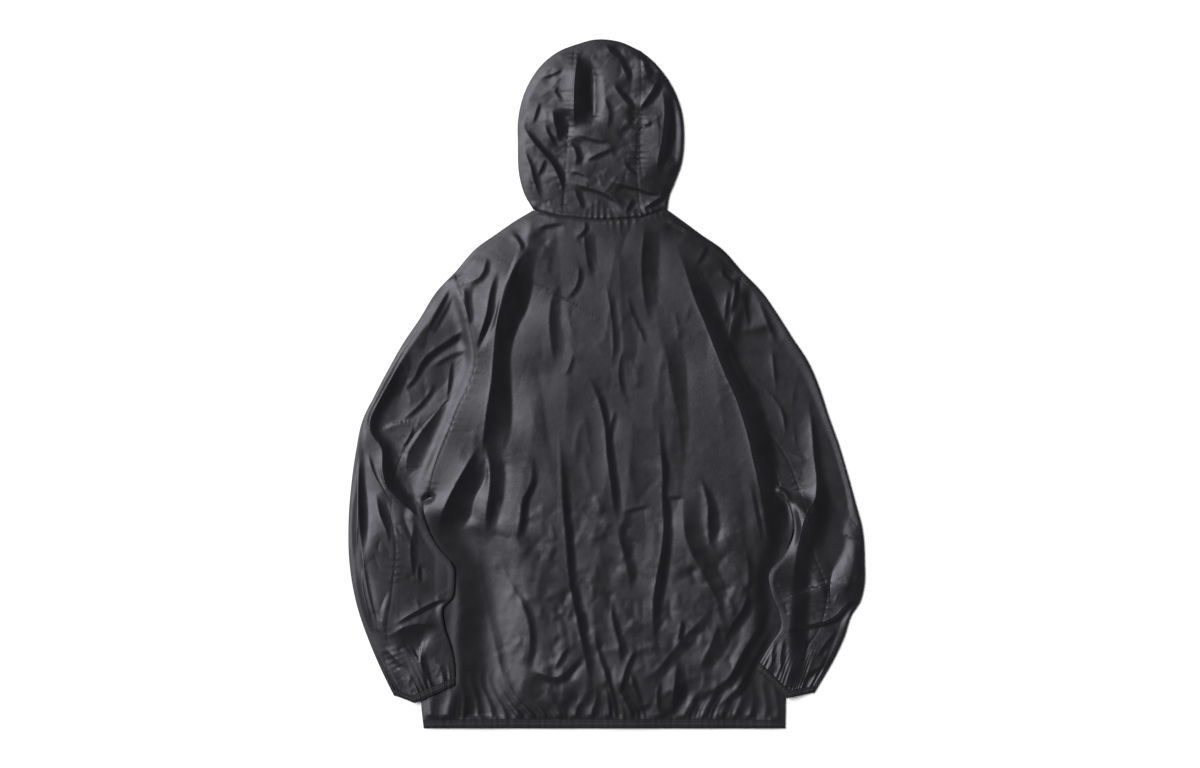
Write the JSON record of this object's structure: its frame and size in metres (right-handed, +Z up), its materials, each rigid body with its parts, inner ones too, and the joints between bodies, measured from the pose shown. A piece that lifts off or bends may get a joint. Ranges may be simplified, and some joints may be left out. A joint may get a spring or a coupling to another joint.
{
  "type": "hooded sun protection jacket",
  "caption": "Thin hooded zip jacket laid flat on its front, back up, with three-panel hood, two-piece sleeves bent over the sides and elastic-bound cuffs and hem.",
  "frame": {"origin": "on the surface the jacket lies on, under the middle of its bounding box", "axes": "+Y from the hem to the hood, +Z up out of the back of the jacket, +X to the right as seen from above with the hood at the top"},
  "size_m": [0.7374, 0.9808, 0.025],
  "materials": {
    "coated_nylon": "black coated nylon with a low sheen",
    "elastic_binding": "matt black elastic binding and zip tape",
    "zip_metal": "black painted zinc"
  },
  "bodies": {
    "jacket": {"back_panel": "coated_nylon", "front_left": "coated_nylon", "front_right": "coated_nylon", "sleeve_left_upper": "coated_nylon", "sleeve_left_under": "coated_nylon", "sleeve_right_upper": "coated_nylon", "sleeve_right_under": "coated_nylon", "hood_centre": "coated_nylon", "hood_left": "coated_nylon", "hood_right": "coated_nylon", "hem_binding_back": "elastic_binding", "hem_binding_left": "elastic_binding", "hem_binding_right": "elastic_binding", "cuff_binding_left": "elastic_binding", "cuff_binding_right": "elastic_binding", "zip_tape_left": "elastic_binding", "zip_tape_right": "elastic_binding", "zip_slider": "zip_metal"},
    "zip_pull": {"zip_pull": "zip_metal"}
  },
  "joints": [
    {"name": "zip_pull_hinge", "type": "hinge", "parent": "jacket", "child": "zip_pull", "pos_m": [-0.0023, 0.1416, 0.00265], "axis": [1, 0, 0], "range_deg": [-5, 165]}
  ]
}
